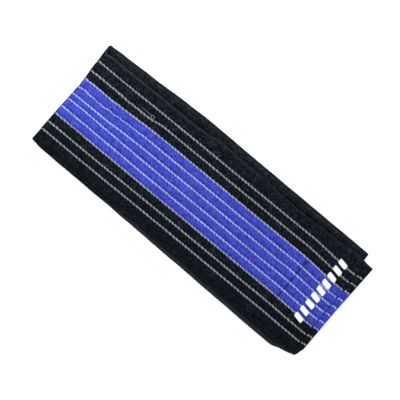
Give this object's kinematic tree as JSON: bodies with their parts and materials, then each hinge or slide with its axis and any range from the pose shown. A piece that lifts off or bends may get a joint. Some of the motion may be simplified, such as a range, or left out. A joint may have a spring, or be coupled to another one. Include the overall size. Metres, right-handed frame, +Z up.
{
  "type": "wrist wrap",
  "caption": "Striped knitted elastic wrist wrap, folded in half and lying flat, with a hook-tape patch under the free end that closes the wrap on its own surface.",
  "frame": {"origin": "on the flat underside, in the middle of the folded length and under the middle of the stripes", "axes": "+X along the band from the fold towards the free end, +Y across the band, +Z up from the surface it lies on"},
  "size_m": [0.2251, 0.0881, 0.0066],
  "materials": {
    "knitted_elastic": "matte knitted elastic, black with a blue middle panel and light cord lines",
    "hook_tape": "woven tape with moulded hooks"
  },
  "bodies": {
    "root": {"elastic_band": "knitted_elastic", "hook_patch": "hook_tape"}
  },
  "joints": []
}
